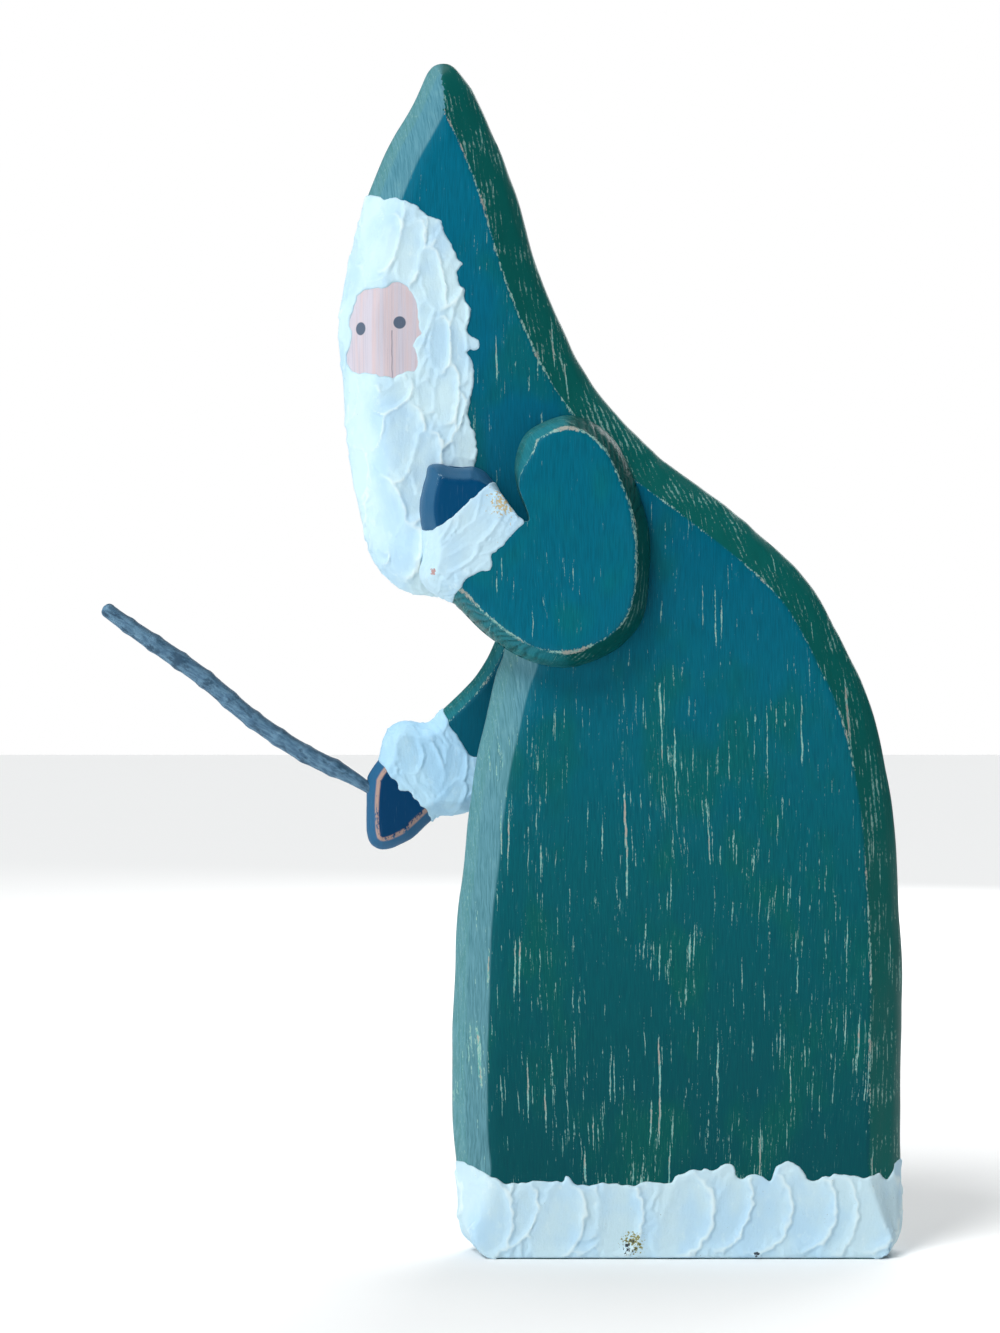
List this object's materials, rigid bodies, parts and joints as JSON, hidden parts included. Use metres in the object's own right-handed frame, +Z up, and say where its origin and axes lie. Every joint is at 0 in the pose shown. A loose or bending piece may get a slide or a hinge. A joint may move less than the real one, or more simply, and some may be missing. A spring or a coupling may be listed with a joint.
{
  "type": "folk-carved wooden figure of a hooded winter gift bringer",
  "caption": "Free-standing flat wooden figure in a long hooded robe, sawn from thick boards, with applied arms, textured white trim and a thin switch in its far hand.",
  "frame": {"origin": "centre of the flat underside of the body board", "axes": "+Z up, from the foot to the tip of the hood; the figure looks toward -X, and its near side, with the face and the near arm, faces -Y"},
  "size_m": [0.4144, 0.0792, 0.6069],
  "materials": {
    "robe_paint": "worn teal paint over pale green, satin, with the wood showing on rubbed edges",
    "sleeve_paint": "worn teal sleeve and navy mitten paint, satin",
    "switch_paint": "thin blue-grey paint on rough bark, matt",
    "texture_paste": "brushed white texture paste with raised strokes, matt"
  },
  "bodies": {
    "root": {"body_board": "robe_paint", "near_arm": "sleeve_paint", "far_arm": "sleeve_paint", "switch_twig": "switch_paint", "hood_fur_and_beard": "texture_paste", "hem_fur": "texture_paste", "near_cuff_fur": "texture_paste", "far_cuff_fur": "texture_paste"}
  },
  "joints": []
}
